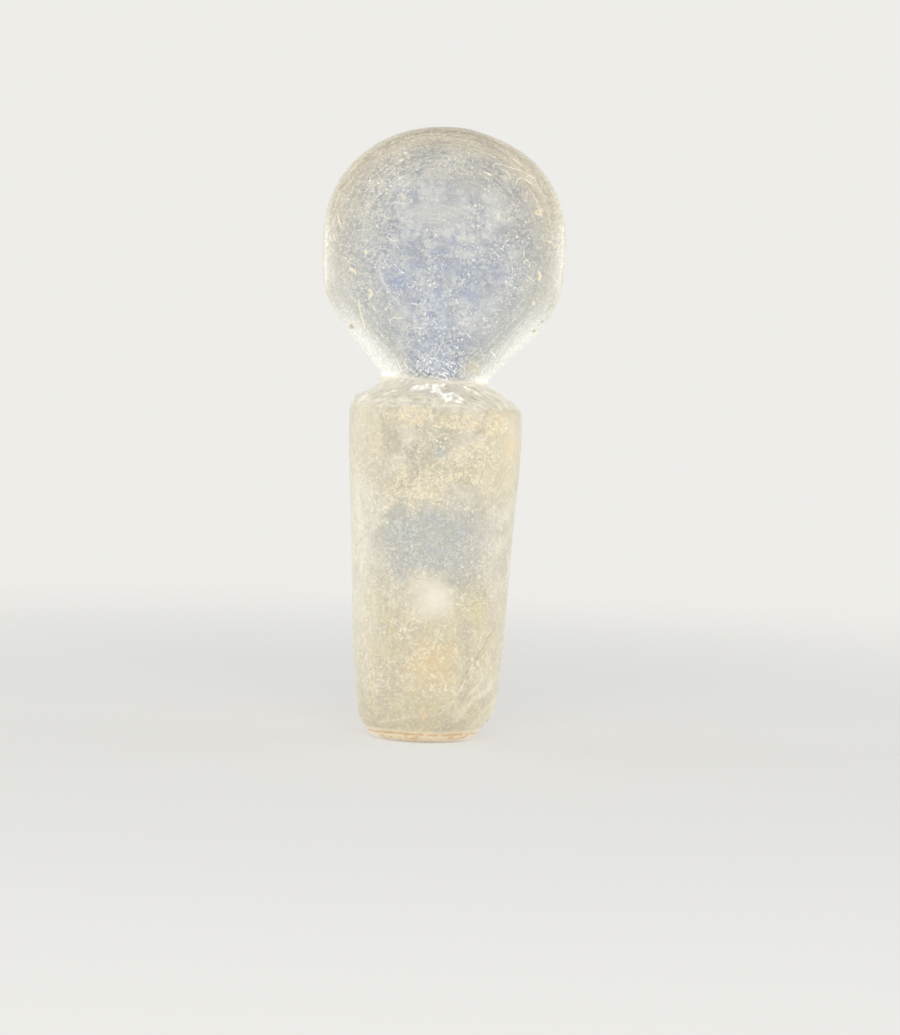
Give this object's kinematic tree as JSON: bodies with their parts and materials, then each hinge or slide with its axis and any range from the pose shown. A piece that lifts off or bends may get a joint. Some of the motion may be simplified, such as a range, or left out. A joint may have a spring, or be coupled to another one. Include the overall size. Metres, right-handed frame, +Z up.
{
  "type": "glass bottle stopper",
  "caption": "Solid glass stopper: a ground conical plug, a rounded shoulder, a pinched neck and a flat disc head that the fingers turn and pull.",
  "frame": {"origin": "centre of the plug's flat end, where its axis meets the surface that it stands on", "axes": "+Z up the plug's axis to the head; +X across the width of the head; -Y is the front, normal to the head's flat face"},
  "size_m": [0.0208, 0.0148, 0.0525],
  "materials": {
    "glass": "weathered clear glass, ground matt on the plug, with ochre dirt in its scratches"
  },
  "bodies": {
    "root": {"stopper": "glass"}
  },
  "joints": []
}
